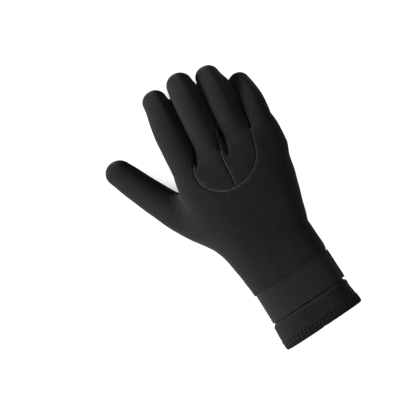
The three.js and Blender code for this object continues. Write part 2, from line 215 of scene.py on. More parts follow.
def hand_rows():
    rows = []
    for along, hand, lean, width, arch, top in HAND_TABLE:
        rows.append((
            along * HAND_LENGTH, lean * KNUCKLE_SHIFT,
            width * (CUFF_WIDTH + (row_width - CUFF_WIDTH) * hand) / 2, arch * PALM_ARCH,
            top * (CUFF_HEIGHT + (KNUCKLE_TOP - CUFF_HEIGHT) * hand),
            CUFF_SQUARENESS + (PALM_SQUARENESS - CUFF_SQUARENESS) * hand,
        ))
    rows = np.array(rows)

    def between(y):
        return np.array([y] + [np.interp(y, rows[:, 0], rows[:, i]) for i in range(1, 6)])

    below, above = between(STRAP_START - CUFF_SLOPE), between(STRAP_END + HAND_SLOPE)
    waist = [between(STRAP_START), between(STRAP_END - HAND_SLOPE)]
    for row in waist:
        row[2] -= STRAP_DIP
        row[3] = STRAP_PINCH
        row[4] -= STRAP_DIP
    return np.array([r for r in rows if r[0] < below[0]] + [below, *waist, above]
                    + [r for r in rows if r[0] > above[0]])


ROWS = hand_rows()


def section(y):
    """Middle, half width, underside, top and squareness of the hand at y."""
    return [monotone(y, ROWS[:, 0], ROWS[:, i]) for i in range(1, 6)]


def section_point(y, angle, off):
    """A point off the neoprene's outside by a distance, at an angle from the little finger's side."""
    centre, half, low, high, square = section(y)
    c, s = np.cos(angle), np.sin(angle)
    x = centre + (half + off) * np.sign(c) * np.abs(c) ** (2 / square)
    z = (low + high) / 2 + ((high - low) / 2 + off) * np.sign(s) * np.abs(s) ** (2 / square)
    return np.stack([x, y + 0 * x, z], -1)


# The digits

class Digit:
    def __init__(self, row, base, table, curl, tip_share=1.0):
        width, reach, turn, height, bow = row
        self.width = width * FINGER_WIDTH
        self.base = base
        self.table = np.array(table)
        self.turn = math.radians(turn)
        self.height = height * KNUCKLE_TOP
        self.bow = bow * FINGER_WIDTH
        self.curl = curl
        self.tip = self.width * self.table[-1, 1] / 2 * tip_share
        self.tip_lean = self.tip * (1 / tip_share - 1)
        self.length = reach * FINGER_REACH - self.tip
        self.s = np.linspace(-FINGER_ROOT, self.length, 400)
        self.c = self.centre(self.s)
        forward = self.centre(self.s + 0.25) - self.centre(self.s - 0.25)
        self.forward = forward / np.linalg.norm(forward, axis=1)[:, None]
        side = np.stack([self.forward[:, 1], -self.forward[:, 0], 0 * self.s], -1)
        self.side = side / np.linalg.norm(side, axis=1)[:, None]
        self.up = np.cross(self.side, self.forward)
        along = np.where(self.s < 0, self.s / FINGER_ROOT, self.s / self.length)
        self.radius = monotone(along, self.table[:, 0], self.table[:, 1]) * self.width / 2
        self.radius *= 1 - (1 - tip_share) * ramp(along, 0.5, 1.0)

    def centre(self, s):
        t = s / self.length
        side = np.where(t > 0, self.bow * np.sin(np.pi * np.clip(t, 0, 1)), 0)
        side = side + self.tip_lean * ramp(t, 0.5, 1.0)
        tip_z = self.tip * DIGIT_FLATNESS - TIP_PRESS
        z = np.where(t > 0, self.height - (self.height - tip_z) * np.abs(t) ** self.curl,
                     self.height + ROOT_SLOPE * s)
        sin, cos = math.sin(self.turn), math.cos(self.turn)
        return np.stack([self.base[0] + s * sin + side * cos, self.base[1] + s * cos - side * sin, z], -1)

    def at(self, s):
        """Middle, side, up, forward and radius along the digit."""
        pick = lambda a: np.stack([np.interp(s, self.s, a[:, i]) for i in range(3)], -1)
        return pick(self.c), pick(self.side), pick(self.up), pick(self.forward), np.interp(
            s, self.s, self.radius)

    def field(self, points):
        """Distance to the digit, place across it, height over its side seam and place along it."""
        out = np.empty((len(points), 4))
        knots = self.c[::8]
        for start in range(0, len(points), 60000):
            p = points[start:start + 60000]
            near = np.argmin(((p[:, None, :] - knots[None]) ** 2).sum(-1), axis=1) * 8
            s = self.s[near] + ((p - self.c[near]) * self.forward[near]).sum(1)
            beyond = np.maximum(s - self.length, 0) + np.minimum(s + FINGER_ROOT, 0)
            middle, side, up, _, radius = self.at(np.clip(s, -FINGER_ROOT, self.length))
            q = p - middle
            u, v = (q * side).sum(1), (q * up).sum(1)
            f = np.sqrt((u / radius) ** 2 + (v / (DIGIT_FLATNESS * radius)) ** 2 + (beyond / radius) ** 2)
            out[start:start + 60000] = np.stack([(f - 1) * radius * 0.97, u / radius, v, s], -1)
        return out


def make_digits():
    edge = KNUCKLE_SHIFT - row_width / 2
    made, crotches = [], []
    for row, foot, share in zip(FINGERS, footprints, TIP_SHARES):
        made.append(Digit(row, (edge + foot / 2, HAND_LENGTH), FINGER_TABLE, FINGER_CURL, share))
        edge += foot + FINGER_GAP
        crotches.append(edge - FINGER_GAP / 2)
    base = (THUMB_ACROSS * CUFF_WIDTH / 2, THUMB_ALONG * HAND_LENGTH)
    made.append(Digit(THUMB, base, THUMB_TABLE, THUMB_CURL))
    return made, crotches[:-1]


DIGITS, CROTCHES = make_digits()


# Seams seen from above

def yoke_point(across, down):
    return (CROTCHES[0] + across * (CROTCHES[2] - CROTCHES[0]), HAND_LENGTH - down * YOKE_DEPTH)


def gap_line(left):
    a, b = DIGITS[left], DIGITS[left + 1]
    turn = (a.turn + b.turn) / 2
    reach = max(a.length + a.tip, b.length + b.tip) + REACH_BEYOND
    start = np.array([CROTCHES[left], HAND_LENGTH])
    return np.array([start, start + reach * np.array([math.sin(turn), math.cos(turn)])])


YOKE_CURVE = spline([yoke_point(*row) for row in YOKE_TABLE], 60)
INSET_CURVE = spline([yoke_point(*row) for row in INSET_SEAM_TABLE], 20)
HEEL_CURVE = spline([(across * CUFF_WIDTH / 2, HEEL_START + rise * HEEL_RISE)
                     for across, rise in HEEL_TABLE], 60)
# Where the fingers part, the seams run up the left of the pockets and of the pleat
INDEX_EDGE = [(-8.6, 187.0), (-11.2, 181.0), (-14.2, 175.5)]
PLEAT_EDGE = [(9.6, 171.5), (12.0, 176.5), (15.0, 181.0), (17.8, 186.5)]
LITTLE_EDGE = [(41.4, 176.5), (42.2, 182.0), (42.6, 188.0)]
YOKE_OUTLINE = np.vstack([gap_line(0)[1:], INDEX_EDGE, YOKE_CURVE, LITTLE_EDGE, gap_line(2)[1:]])
INSET_LINE = np.vstack([INSET_CURVE, PLEAT_EDGE, gap_line(1)[1:]])


def side_of(points, line):
    """Signed distance in plan from a line, positive on the right as it is walked."""
    best = np.full(len(points), 1e9)
    sign = np.ones(len(points))
    for a, b in zip(line[:-1], line[1:]):
        ab = b - a
        ap = points - a
        t = np.clip((ap @ ab) / max(ab @ ab, 1e-9), 0, 1)
        offset = ap - t[:, None] * ab
        d = np.einsum("ij,ij->i", offset, offset)
        cross = ap[:, 0] * ab[1] - ap[:, 1] * ab[0]
        nearer = d < best
        best = np.where(nearer, d, best)
        sign = np.where(nearer, np.where(cross >= 0, 1.0, -1.0), sign)
    return np.sqrt(best) * sign


def near_line(points, line):
    """Distance in plan from a line."""
    return np.abs(side_of(points, np.asarray(line, float)))


# The glove's outside as a field on a grid

GRID_LOW = np.array([-92.0, -3.2, -3.2])
GRID_HIGH = np.array([74.0, 252.0, 60.0])
GRID_SHAPE = tuple(np.ceil((GRID_HIGH - GRID_LOW) / VOXEL).astype(int))
AXES = [GRID_LOW[i] + VOXEL * np.arange(GRID_SHAPE[i]) for i in range(3)]
FINGER_BLEND, ROOT_BLEND, THUMB_BLEND, FLOOR_BLEND = 3.5, 7.5, 13.0, 2.2
# Between these places the fingers part: before them all panels share one surface
ROOTS_START, ROOTS_END = 177.0, 187.0
LITTLE_DIGIT, THUMB_DIGIT = 3, 4
# The seams' rounding takes a little off the outside, so the field starts that much larger
GROW = 0.3
# How far the index, middle and ring fingers swell towards the next one, and the gap they keep
PRESS = (2.4, 2.4, 3.6, 0.0, 0.0)
# Where the swell rises: across the finger, over its side seam and along it
SWELL_ACROSS, SWELL_OVER, SWELL_ALONG = (-0.35, 1.05), (-9.0, -3.0), (-16.0, -6.0)
# Where it ends before the tip, and where and how much it loses on the upper side
SWELL_TIP, SWELL_TOP, SWELL_TOP_LOSS = (-14.0, 1.0), (1.0, 7.0), 0.75
CONTACT_GAP = 0.3
# How deep and how wide the neoprene dips along its seams
SIDE_DIP, HEEL_DIP, SIDE_DIP_WIDTH = 0.15, 0.4, 1.3
YOKE_DIP, YOKE_DIP_WIDTH = 0.8, 1.2
INSET_DIP, INSET_DIP_WIDTH = 0.75, 1.1
PALM_SLIT = 1.1


def grid_points(index):
    return np.stack([AXES[i][index[i]] for i in range(3)], -1)


def hand_grid():
    """Distance to the hand, and height over its side seam, on the whole grid."""
    centre, half, low, high, square = (c[None, :, None] for c in section(AXES[1]))
    x, y, z = AXES[0][:, None, None], AXES[1][None, :, None], AXES[2][None, None, :]
    tall, middle = (high - low) / 2, (high + low) / 2
    u = np.abs(x - centre) / half
    v = np.abs(z - middle) / tall
    f = np.maximum((u ** square + v ** square) ** (1 / square), 1e-3)
    slope = np.sqrt((u ** (square - 1) / half) ** 2 + (v ** (square - 1) / tall) ** 2)
    d = np.clip((f - 1) / np.maximum(slope / f ** (square - 1), 1e-3), -40, 40)
    d = smooth_max(d, y - (ROWS[-1, 0] + 0.6), 4.0)
    return d, z - middle + 0 * x


def carve(points, line, depth, width):
    """A soft groove of a depth and width along a plan line."""
    d = near_line(points[:, :2], line)
    return depth * np.exp(-(d / width) ** 2)


def digit_grids(seam, hand):
    """Each digit's own field on the whole grid, and the side seam's field blended from all of them."""
    # The side seam turns from one part to the next softly, and softest at the thumb's web
    def softness(x):
        return 2.5 + 4.0 * (1 - ramp(x, -40.0, -26.0))

    hand_weight = np.exp(-np.clip(hand, -12, 40) / softness(AXES[0])[:, None, None])
    seam_sum, weight_sum = seam * hand_weight, hand_weight
    own, swelled = [], []
    for n, digit in enumerate(DIGITS):
        low = digit.c.min(0) - digit.width / 2 - 8
        high = digit.c.max(0) + digit.width / 2 + 8
        ranges = [np.nonzero((AXES[i] >= low[i]) & (AXES[i] <= high[i]))[0] for i in range(3)]
        index = tuple(a.ravel() for a in np.meshgrid(*ranges, indexing="ij"))
        points = grid_points(index)
        d, u, v, s = digit.field(points).T
        grid = np.full(GRID_SHAPE, 40.0)
        grid[index] = d
        own.append(grid)
        # A finger's side swells until it meets its neighbour
        swell = ramp(u, *SWELL_ACROSS) * ramp(v, *SWELL_OVER) * ramp(s, *SWELL_ALONG)
        swell = swell * (1 - ramp(s - digit.length, *SWELL_TIP))
        swell = swell * (1 - SWELL_TOP_LOSS * ramp(v, *SWELL_TOP))
        grid = grid.copy()
        grid[index] -= swell * PRESS[n]
        swelled.append(grid)
        weight = np.exp(-np.clip(d, -12, 40) / softness(points[:, 0])) * ramp(s, -14, 6)
        seam_sum[index] += weight * v
        weight_sum[index] += weight
    return own, swelled, seam_sum / weight_sum


def add_relief(points):
    """Folds, pockets and slack, as changes of the field near the surface."""
    x, y, z = points.T
    relief = np.zeros(len(points))
    upper = ramp(z, 40, 48)
    for line, depth, width in FOLD_TABLE:
        relief += upper * carve(points, line, depth, width)
    for depth, place, spread, side, inner, outer in OUTLINE_TABLE:
        relief += depth * np.exp(-((y - place) / spread) ** 2) * ramp(side * x, inner, outer)
    relief -= ULNAR_FULLNESS * ramp(x, 14, 34) * ramp(y, 52, 58) * (1 - ramp(y, 142, 156))
    relief += SLACK * np.sin(x / 9.0 + 0.7 * np.sin(y / 17.0)) * np.sin(y / 13.0 + 0.4)
    relief += SMALL_SLACK * np.sin(x / 4.1 + y / 6.3 + 1.3) * np.sin(y / 5.2 - x / 7.9)
    return relief


def make_fields():
    """The glove's outside for each part of it, and the seams' fields, near the surface."""
    hand, seam = hand_grid()
    own, swelled, seam = digit_grids(seam, hand)
    hand -= GROW

    def outside(digits, gap=CONTACT_GAP, blend=FINGER_BLEND):
        d = hand
        for n in digits:
            pressed = smooth_max(swelled[n], gap - own[n + 1], 0.8) if n < LITTLE_DIGIT else own[n]
            d = smooth_min(d, pressed - GROW, THUMB_BLEND if n == THUMB_DIGIT else blend)
        return d

    joined = outside(range(len(DIGITS)), blend=ROOT_BLEND)
    parted = ramp(AXES[1], ROOTS_START, ROOTS_END)[None, :, None]

    def panel_outside(digits, gap=CONTACT_GAP):
        return joined + (outside(digits, gap) - joined) * parted

    whole = panel_outside(range(len(DIGITS)))
    index = np.nonzero(np.abs(whole) < 8.5)
    points = grid_points(index)
    plan = points[:, :2]
    yoke, inset, heel = side_of(plan, YOKE_OUTLINE), side_of(plan, INSET_LINE), side_of(plan, HEEL_CURVE)
    palm = smooth_max(seam[index], heel, 3.0)
    side_dip = SIDE_DIP * (heel < 4) + HEEL_DIP * (heel > -4)
    dips = side_dip * np.exp(-(palm / SIDE_DIP_WIDTH) ** 2)
    near_hand = 1 - ramp(points[:, 1], 172, 180)
    upper = (palm > 0) * near_hand
    dips += upper * YOKE_DIP * np.exp(-(yoke / YOKE_DIP_WIDTH) ** 2)
    dips += upper * (yoke < 0) * INSET_DIP * np.exp(-(inset / INSET_DIP_WIDTH) ** 2)
    change = add_relief(points) + dips
    ground = -points[:, 2]

    def near(d):
        return smooth_max(d[index] + change, ground, FLOOR_BLEND)

    outsides = {
        "back_panel": near(panel_outside([0, 3, 4])),
        "palm_panel": near(panel_outside(range(len(DIGITS)), PALM_SLIT)),
        "middle_finger_inset": near(panel_outside([1])),
        "ring_finger_inset": near(panel_outside([2])),
    }
    whole[index] = near(whole)
    palm_field = np.full(GRID_SHAPE, 9.0)
    palm_field[index] = palm
    return whole, palm_field, outsides, index, points, yoke, inset, palm


EDGE_BLEND = 1.3
SEAM_GAP = 0.12
CUFF_ROUND, CUFF_ROUND_WIDTH, CUFF_OVER = 1.2, 2.4, 0.35


def cuff_end(points):
    """The cuff's cut edge, which runs off a little round the thumb side's corner."""
    x = points[:, 0]
    return CUFF_ROUND * np.exp(-((x + CUFF_WIDTH / 2) / CUFF_ROUND_WIDTH) ** 2) - GROW - CUFF_OVER


def panel_arrays(fields):
    """One closed field for each panel: the wall of neoprene inside that panel's region."""
    _, _, outsides, index, points, yoke, inset, palm = fields
    g = SEAM_GAP / 2
    # Past the crotches each finger is its own, and no seam line cuts it
    free = 9 * ramp(points[:, 1], ROOTS_END - 3, ROOTS_END + 4)
    back = smooth_max(-palm + g, -yoke + g - free, EDGE_BLEND)
    middle = smooth_max(-palm + g, np.maximum(yoke, inset) + g - free, EDGE_BLEND)
    ring = smooth_max(-palm + g, np.maximum(yoke, -inset) + g - free, EDGE_BLEND)
    regions = {
        "palm_panel": palm + g, "back_panel": back, "middle_finger_inset": middle, "ring_finger_inset": ring,
    }
    for name, region in regions.items():
        outside = outsides[name]
        wall = smooth_max(outside, -(outside + WALL), EDGE_BLEND)
        wall = smooth_max(wall, cuff_end(points) - points[:, 1], EDGE_BLEND)
        grid = np.full(GRID_SHAPE, 3.0, np.float32)
        grid[index] = smooth_max(wall, region, EDGE_BLEND)
        yield name, grid


def sample(grid, points):
    """Trilinear reading of a grid at points."""
    u = (points - GRID_LOW) / VOXEL
    k = np.clip(np.floor(u).astype(int), 0, np.array(GRID_SHAPE) - 2)
    t = np.clip(u - k, 0, 1)
    value = 0
    for i in (0, 1):
        for j in (0, 1):
            for m in (0, 1):
                w = (t[:, 0] if i else 1 - t[:, 0]) * (t[:, 1] if j else 1 - t[:, 1]) * (
                    t[:, 2] if m else 1 - t[:, 2])
                value = value + w * grid[k[:, 0] + i, k[:, 1] + j, k[:, 2] + m]
    return value


def slope_of(grid, points):
    """The field's slope at points, as unit vectors that point out."""
    e = VOXEL * 0.6
    g = np.stack([sample(grid, points + e * np.eye(3)[i]) - sample(grid, points - e * np.eye(3)[i])
                  for i in range(3)], -1)
    return g / np.maximum(np.linalg.norm(g, axis=1)[:, None], 1e-9)


def settle(grid, points, level):
    """Points moved along the field's slope onto one of its levels."""
    for _ in range(3):
        points = points - slope_of(grid, points) * (sample(grid, points) - level)[:, None]
    return points


# Meshes

def to_frame(points):
    return (np.asarray(points, float) - (0, REST_INSET, 0)) / 1000


def make_object(name, points, faces, materials, face_materials=None):
    """An object from points in millimetres and faces of 3 or 4 corners."""
    mesh = bpy.data.meshes.new(name)
    corners = np.concatenate([np.asarray(f, np.int32).ravel() for f in faces])
    sizes = np.concatenate([np.full(len(f), np.shape(f)[1], np.int32) for f in faces])
    mesh.vertices.add(len(points))
    mesh.vertices.foreach_set("co", to_frame(points).ravel().astype(np.float32))
    mesh.loops.add(len(corners))
    mesh.loops.foreach_set("vertex_index", corners)
    mesh.polygons.add(len(sizes))
    mesh.polygons.foreach_set("loop_start", np.concatenate([[0], np.cumsum(sizes)[:-1]]).astype(np.int32))
    mesh.polygons.foreach_set("loop_total", sizes)
    mesh.polygons.foreach_set("use_smooth", np.full(len(sizes), True))
    for material in materials:
        mesh.materials.append(material)
    if face_materials is not None:
        mesh.polygons.foreach_set("material_index", face_materials.astype(np.int32))
    mesh.update(calc_edges=True)
    mesh.validate()
    made = bpy.data.objects.new(name, mesh)
    bpy.context.scene.collection.objects.link(made)
    return made


def volume_of(points, triangles):
    a, b, c = (points[triangles[:, i]] for i in range(3))
    return np.einsum("ij,ij->i", a, np.cross(b, c)).sum() / 6


def surface(grid):
    """The grid's zero level as points and quads that face out."""
    field = openvdb.FloatGrid(background=3.0)
    field.copyFromArray(grid)
    points, _, quads = field.convertToPolygons(isovalue=0.0, adaptivity=0.0)
    points = GRID_LOW + VOXEL * np.asarray(points, float)
    quads = np.asarray(quads, int)
    halves = np.vstack([quads[:, [0, 1, 2]], quads[:, [0, 2, 3]]])
    if volume_of(points, halves) < 0:
        quads = quads[:, ::-1]
    return points, quads


SPECK_SHARE = 0.02


def largest_pieces(points, quads):
    """The surface without specks that the grid left on thin edges."""
    label = np.arange(len(points))
    while True:
        low = label[quads].min(1)
        new = label.copy()
        for i in range(4):
            np.minimum.at(new, quads[:, i], low)
        new = new[new]
        if (new == label).all():
            break
        label = new
    face_label = label[quads[:, 0]]
    names, counts = np.unique(face_label, return_counts=True)
    keep = np.isin(face_label, names[counts > SPECK_SHARE * len(quads)])
    quads = quads[keep]
    used, quads = np.unique(quads, return_inverse=True)
    return points[used], quads.reshape(-1, 4)


# Materials

# A band texture's scale for bands one unit apart
BAND_SCALE = 0.157
# Where the mottling's dark and light tones are reached
MOTTLE_PLACES = (0.32, 0.70)


def shader(name, colour, roughness, sheen=0.0):
    material = bpy.data.materials.new(name)
    material.use_nodes = True
    tree = material.node_tree
    bsdf = tree.nodes["Principled BSDF"]
    bsdf.inputs["Base Color"].default_value = (*colour, 1)
    bsdf.inputs["Roughness"].default_value = roughness
    bsdf.inputs["Specular IOR Level"].default_value = 0.15
    bsdf.inputs["Sheen Weight"].default_value = sheen
    bsdf.inputs["Sheen Roughness"].default_value = 0.45
    return material, tree, bsdf


def node(tree, kind, **values):
    """A node whose sockets and settings are given by name."""
    made = tree.nodes.new(kind)
    for key, value in values.items():
        socket = key.replace("_", " ")
        if socket in made.inputs:
            made.inputs[socket].default_value = value
        else:
            setattr(made, key, value)
    return made


def object_coordinates(tree, scale, turn):
    coordinates = node(tree, "ShaderNodeTexCoord")
    mapping = node(tree, "ShaderNodeMapping")
    mapping.inputs["Scale"].default_value = (scale, scale, scale)
    mapping.inputs["Rotation"].default_value = turn
    tree.links.new(coordinates.outputs["Object"], mapping.inputs["Vector"])
    return mapping.outputs["Vector"]


def add_bump(tree, bsdf, height, distance, strength):
    """Heights in steps of a distance in millimetres, over those that the shader has."""
    bump = node(tree, "ShaderNodeBump", Strength=strength, Distance=distance / 1000)
    tree.links.new(height, bump.inputs["Height"])
    before = bsdf.inputs["Normal"].links
    if before:
        tree.links.new(before[0].from_socket, bump.inputs["Normal"])
    tree.links.new(bump.outputs["Normal"], bsdf.inputs["Normal"])


def mottle(tree, bsdf, scale, dark, light):
    """Small changes of the base colour between two tones."""
    noise = texture(tree, "ShaderNodeTexNoise", scale, Detail=6.0, Roughness=0.65)
    mix = node(tree, "ShaderNodeValToRGB")
    for element, place, tone in zip(mix.color_ramp.elements, MOTTLE_PLACES, (dark, light)):
        element.position = place
        element.color = (*tone, 1)
    tree.links.new(noise.outputs["Fac"], mix.inputs["Fac"])
    tree.links.new(mix.outputs["Color"], bsdf.inputs["Base Color"])


def texture(tree, kind, scale, turn=0.0, **values):
    """A texture in the piece's own coordinates, with a scale for each metre, turned in plan."""
    made = node(tree, kind, Scale=1.0, **values)
    tree.links.new(object_coordinates(tree, scale, (0, 0, turn)), made.inputs["Vector"])
    return made


def bands(tree, pitch, turn=0.0, **values):
    """Bands at a pitch in millimetres."""
    return texture(tree, "ShaderNodeTexWave", BAND_SCALE * 1000 / pitch, turn, wave_type="BANDS", **values)


def knit_height(tree, pitch, turn):
    """Rows of small loops, as heights."""
    rows = bands(tree, pitch, turn, bands_direction="X", Distortion=1.2, Detail=1.0, Detail_Scale=2.0)
    across = bands(tree, pitch, turn, bands_direction="Y", Distortion=1.6, Detail=1.0)
    both = node(tree, "ShaderNodeMath", operation="ADD")
    tree.links.new(rows.outputs["Fac"], both.inputs[0])
    tree.links.new(across.outputs["Fac"], both.inputs[1])
    return both.outputs["Value"]


def add_grain(tree, bsdf, scale, detail, roughness, distance, strength):
    """Fine unevenness of a fabric or rubber."""
    grain = texture(tree, "ShaderNodeTexNoise", scale, Detail=detail, Roughness=roughness)
    add_bump(tree, bsdf, grain.outputs["Fac"], distance, strength)


def jersey_material():
    material, tree, bsdf = shader("jersey", (0.018, 0.018, 0.0185), 0.9, sheen=0.22)
    mottle(tree, bsdf, 420, (0.0115, 0.0115, 0.0119), (0.0205, 0.0205, 0.0211))
    add_bump(tree, bsdf, knit_height(tree, 0.42, 0.14), 0.035, 0.35)
    add_grain(tree, bsdf, 1100, 5.0, 0.6, 0.10, 0.45)
    return material


def grip_material():
    material, tree, bsdf = shader("grip", (0.010, 0.010, 0.010), 0.78, sheen=0.12)
    mottle(tree, bsdf, 500, (0.0070, 0.0070, 0.0072), (0.0140, 0.0140, 0.0143))
    dots = texture(tree, "ShaderNodeTexVoronoi", 1000 / 1.1, Randomness=0.15)
    invert = node(tree, "ShaderNodeMath", operation="SUBTRACT")
    invert.inputs[0].default_value = 1.0
    tree.links.new(dots.outputs["Distance"], invert.inputs[1])
    add_bump(tree, bsdf, invert.outputs["Value"], 0.25, 0.7)
    return material


def rubber_material():
    material, tree, bsdf = shader("grip_rubber", (0.012, 0.012, 0.012), 0.55)
    bsdf.inputs["Specular IOR Level"].default_value = 0.45
    mottle(tree, bsdf, 300, (0.009, 0.009, 0.009), (0.016, 0.016, 0.016))
    add_grain(tree, bsdf, 3000, 3.0, 0.5, 0.04, 0.5)
    return material


def lining_material():
    material, tree, bsdf = shader("lining", (0.016, 0.016, 0.017), 0.95, sheen=0.25)
    mottle(tree, bsdf, 260, (0.012, 0.012, 0.013), (0.021, 0.021, 0.022))
    add_bump(tree, bsdf, knit_height(tree, 1.1, 0.0), 0.10, 0.5)
    return material


def foam_material():
    material, tree, bsdf = shader("foam_edge", (0.010, 0.010, 0.011), 0.97)
    mottle(tree, bsdf, 900, (0.006, 0.006, 0.007), (0.016, 0.016, 0.017))
    cells = texture(tree, "ShaderNodeTexVoronoi", 2200)
    add_bump(tree, bsdf, cells.outputs["Distance"], 0.15, 0.6)
    return material


def webbing_material():
    material, tree, bsdf = shader("webbing", (0.016, 0.016, 0.017), 0.86, sheen=0.18)
    mottle(tree, bsdf, 600, (0.0185, 0.0185, 0.0197), (0.0310, 0.0310, 0.0325))
    weave = bands(tree, 0.7, bands_direction="X", Distortion=0.6)
    add_bump(tree, bsdf, weave.outputs["Fac"], 0.10, 0.6)
    return material


def plain_fabric(name, dark, light, roughness, sheen, grain_scale, depth):
    material, tree, bsdf = shader(name, dark, roughness, sheen)
    mottle(tree, bsdf, 450, dark, light)
    add_grain(tree, bsdf, grain_scale, 6.0, 0.7, depth, 0.8)
    return material


def thread_material(name, dark, light, sheen=0.2):
    return plain_fabric(name, dark, light, 0.8, sheen, 3000, 0.06)


MATERIALS = {
    "jersey": jersey_material(),
    "grip": grip_material(),
    "lining": lining_material(),
    "foam": foam_material(),
    "webbing": webbing_material(),
    "hook": plain_fabric("hook_tape", (0.010, 0.010, 0.011), (0.019, 0.019, 0.020), 0.85, 0.2, 1400, 0.12),
    "loop": plain_fabric("loop_pile", (0.008, 0.008, 0.009), (0.018, 0.018, 0.019), 0.98, 0.5, 2400, 0.4),
    "pale_thread": thread_material("pale_thread", (0.100, 0.100, 0.103), (0.170, 0.170, 0.174)),
    "tab_thread": thread_material("tab_thread", (0.022, 0.022, 0.023), (0.036, 0.036, 0.037)),
    "rubber": rubber_material(),
    "hem_thread": thread_material("hem_thread", (0.011, 0.011, 0.0115), (0.019, 0.019, 0.0195)),
    "dark_thread": thread_material("dark_thread", (0.005, 0.005, 0.0055), (0.012, 0.012, 0.0125), 0.1),
}


# Panels

fields = make_fields()
OUTSIDE, PALM_FIELD = fields[:2]
PANEL_SLOT = {
    "back_panel": "jersey", "palm_panel": "grip",
    "middle_finger_inset": "jersey", "ring_finger_inset": "jersey",
}


# How deep the face's fabric and the lining reach where a panel's cut edge shows
FACE_DEPTH, LINING_DEPTH = 0.8, 0.6


def make_panel(name, grid):
    points, quads = largest_pieces(*surface(grid))
    depth = sample(OUTSIDE, points)[quads].mean(1)
    kind = np.where(depth > -FACE_DEPTH, 0, np.where(depth > LINING_DEPTH - WALL, 1, 2))
    slot = PANEL_SLOT[name]
    made = make_object(name + "_cloth", points, [quads],
                       [MATERIALS[slot], MATERIALS["foam"], MATERIALS["lining"]], kind)
    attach(made, "root")
    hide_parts(name)


for name, grid in panel_arrays(fields):
    make_panel(name, grid)


# Strap

def strap_point(y, angle, off):
    """A point of the strap, whose layers don't follow the neoprene's rise beside it."""
    point = section_point(np.clip(y, STRAP_START, STRAP_END - HAND_SLOPE - 0.1), angle, off)
    point[..., 1] = y
    return point


def sweep(name, degrees, profile_at, slot, node_name):
    """A band swept round the wrist. profile_at gives, for each angle, points of place and distance off."""
    rings = []
    for degree in degrees:
        profile = np.asarray(profile_at(degree), float)
        rings.append(strap_point(profile[:, 0], math.radians(degree), profile[:, 1]))
    rings = np.array(rings)
    steps, count = rings.shape[:2]
    a = (np.arange(steps - 1)[:, None] * count + np.arange(count)[None]).ravel()
    b = (np.arange(steps - 1)[:, None] * count + (np.arange(count)[None] + 1) % count).ravel()
    quads = np.stack([a, b, b + count, a + count], -1)
    points = rings.reshape(-1, 3)
    points = np.vstack([points, rings[0].mean(0), rings[-1].mean(0)])
    j = np.arange(count)
    last = (steps - 1) * count
    fans = np.vstack([
        np.stack([(j + 1) % count, j, np.full(count, len(points) - 2)], -1),
        np.stack([last + j, last + (j + 1) % count, np.full(count, len(points) - 1)], -1),
    ])
    halves = np.vstack([quads[:, [0, 1, 2]], quads[:, [0, 2, 3]], fans])
    if volume_of(points, halves) < 0:
        quads, fans = quads[:, ::-1], fans[:, ::-1]
    made = make_object(name, points, [quads, fans], [MATERIALS[slot]])
    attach(made, "root")
    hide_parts(node_name)


LAYER_INNER = GROW + LAYER_GAP
BAND_OUTER = LAYER_INNER + STRAP_THICK


def rounded_edges(inner, outer, inset):
    """A flat tape's outline, whose long edges are rounded, and drawn in by an inset."""
    a, b = STRAP_START + inset, STRAP_END - inset
    middle = (inner + outer) / 2
    flat, soft = 0.5, 0.15
    return [
        (a + flat, inner), (b - flat, inner), (b - soft, inner + soft), (b, middle), (b - soft, outer - soft),
        (b - flat, outer), (a + flat, outer), (a + soft, outer - soft), (a, middle), (a + soft, inner + soft),
    ]


def band_profile(degree):
    """Ribs along the elastic, which run out where the strap turns to plain tape."""
    ribbed = ramp(degree, RIBS_FROM, RIBS_FULL)
    pitch = STRAP_WIDTH / STRAP_RIBS
    outer = []
    for rib in range(STRAP_RIBS - 1, -1, -1):
        for part in (0.92, 0.74, 0.5, 0.26, 0.08):
            depth = RIB_DEPTH * abs(2 * part - 1) ** 2.4 * ribbed
            if rib in (0, STRAP_RIBS - 1) and part in (0.92, 0.08):
                depth += 0.35 * (1 - ribbed)
            outer.append((STRAP_START + (rib + part) * pitch, BAND_OUTER - depth))
    inner = [(STRAP_START + 0.3, LAYER_INNER), (STRAP_END - 0.3, LAYER_INNER)]
    return inner + outer


def tab_profile(degree):
    """The tab's free end is rounded, and it lies over the patch."""
    inner = BAND_OUTER + LAYER_GAP
    left = min(math.radians(degree - TAB_FROM) * CUFF_WIDTH / 2, TAB_CORNER)
    drawn = TAB_CORNER - math.sqrt(max(TAB_CORNER ** 2 - (TAB_CORNER - left) ** 2, 0))
    return rounded_edges(inner, inner + TAB_THICK, drawn)


def patch_profile(_):
    return rounded_edges(LAYER_INNER, BAND_OUTER, PATCH_MARGIN)


TAB_BEND = TAB_FROM + 0.07 * (TAB_TO - TAB_FROM)
tab_degrees = np.concatenate([np.linspace(TAB_FROM, TAB_BEND, 12)[:-1], np.linspace(TAB_BEND, TAB_TO, 60)])
sweep("wrist_band_elastic", np.linspace(BAND_FROM, BAND_TO, 150), band_profile, "webbing", "wrist_band")
sweep("hook_tab_tape", tab_degrees, tab_profile, "hook", "hook_tab")
sweep("loop_patch_pile", np.linspace(PATCH_FROM, PATCH_TO, 50), patch_profile, "loop", "loop_patch")


# Stitches

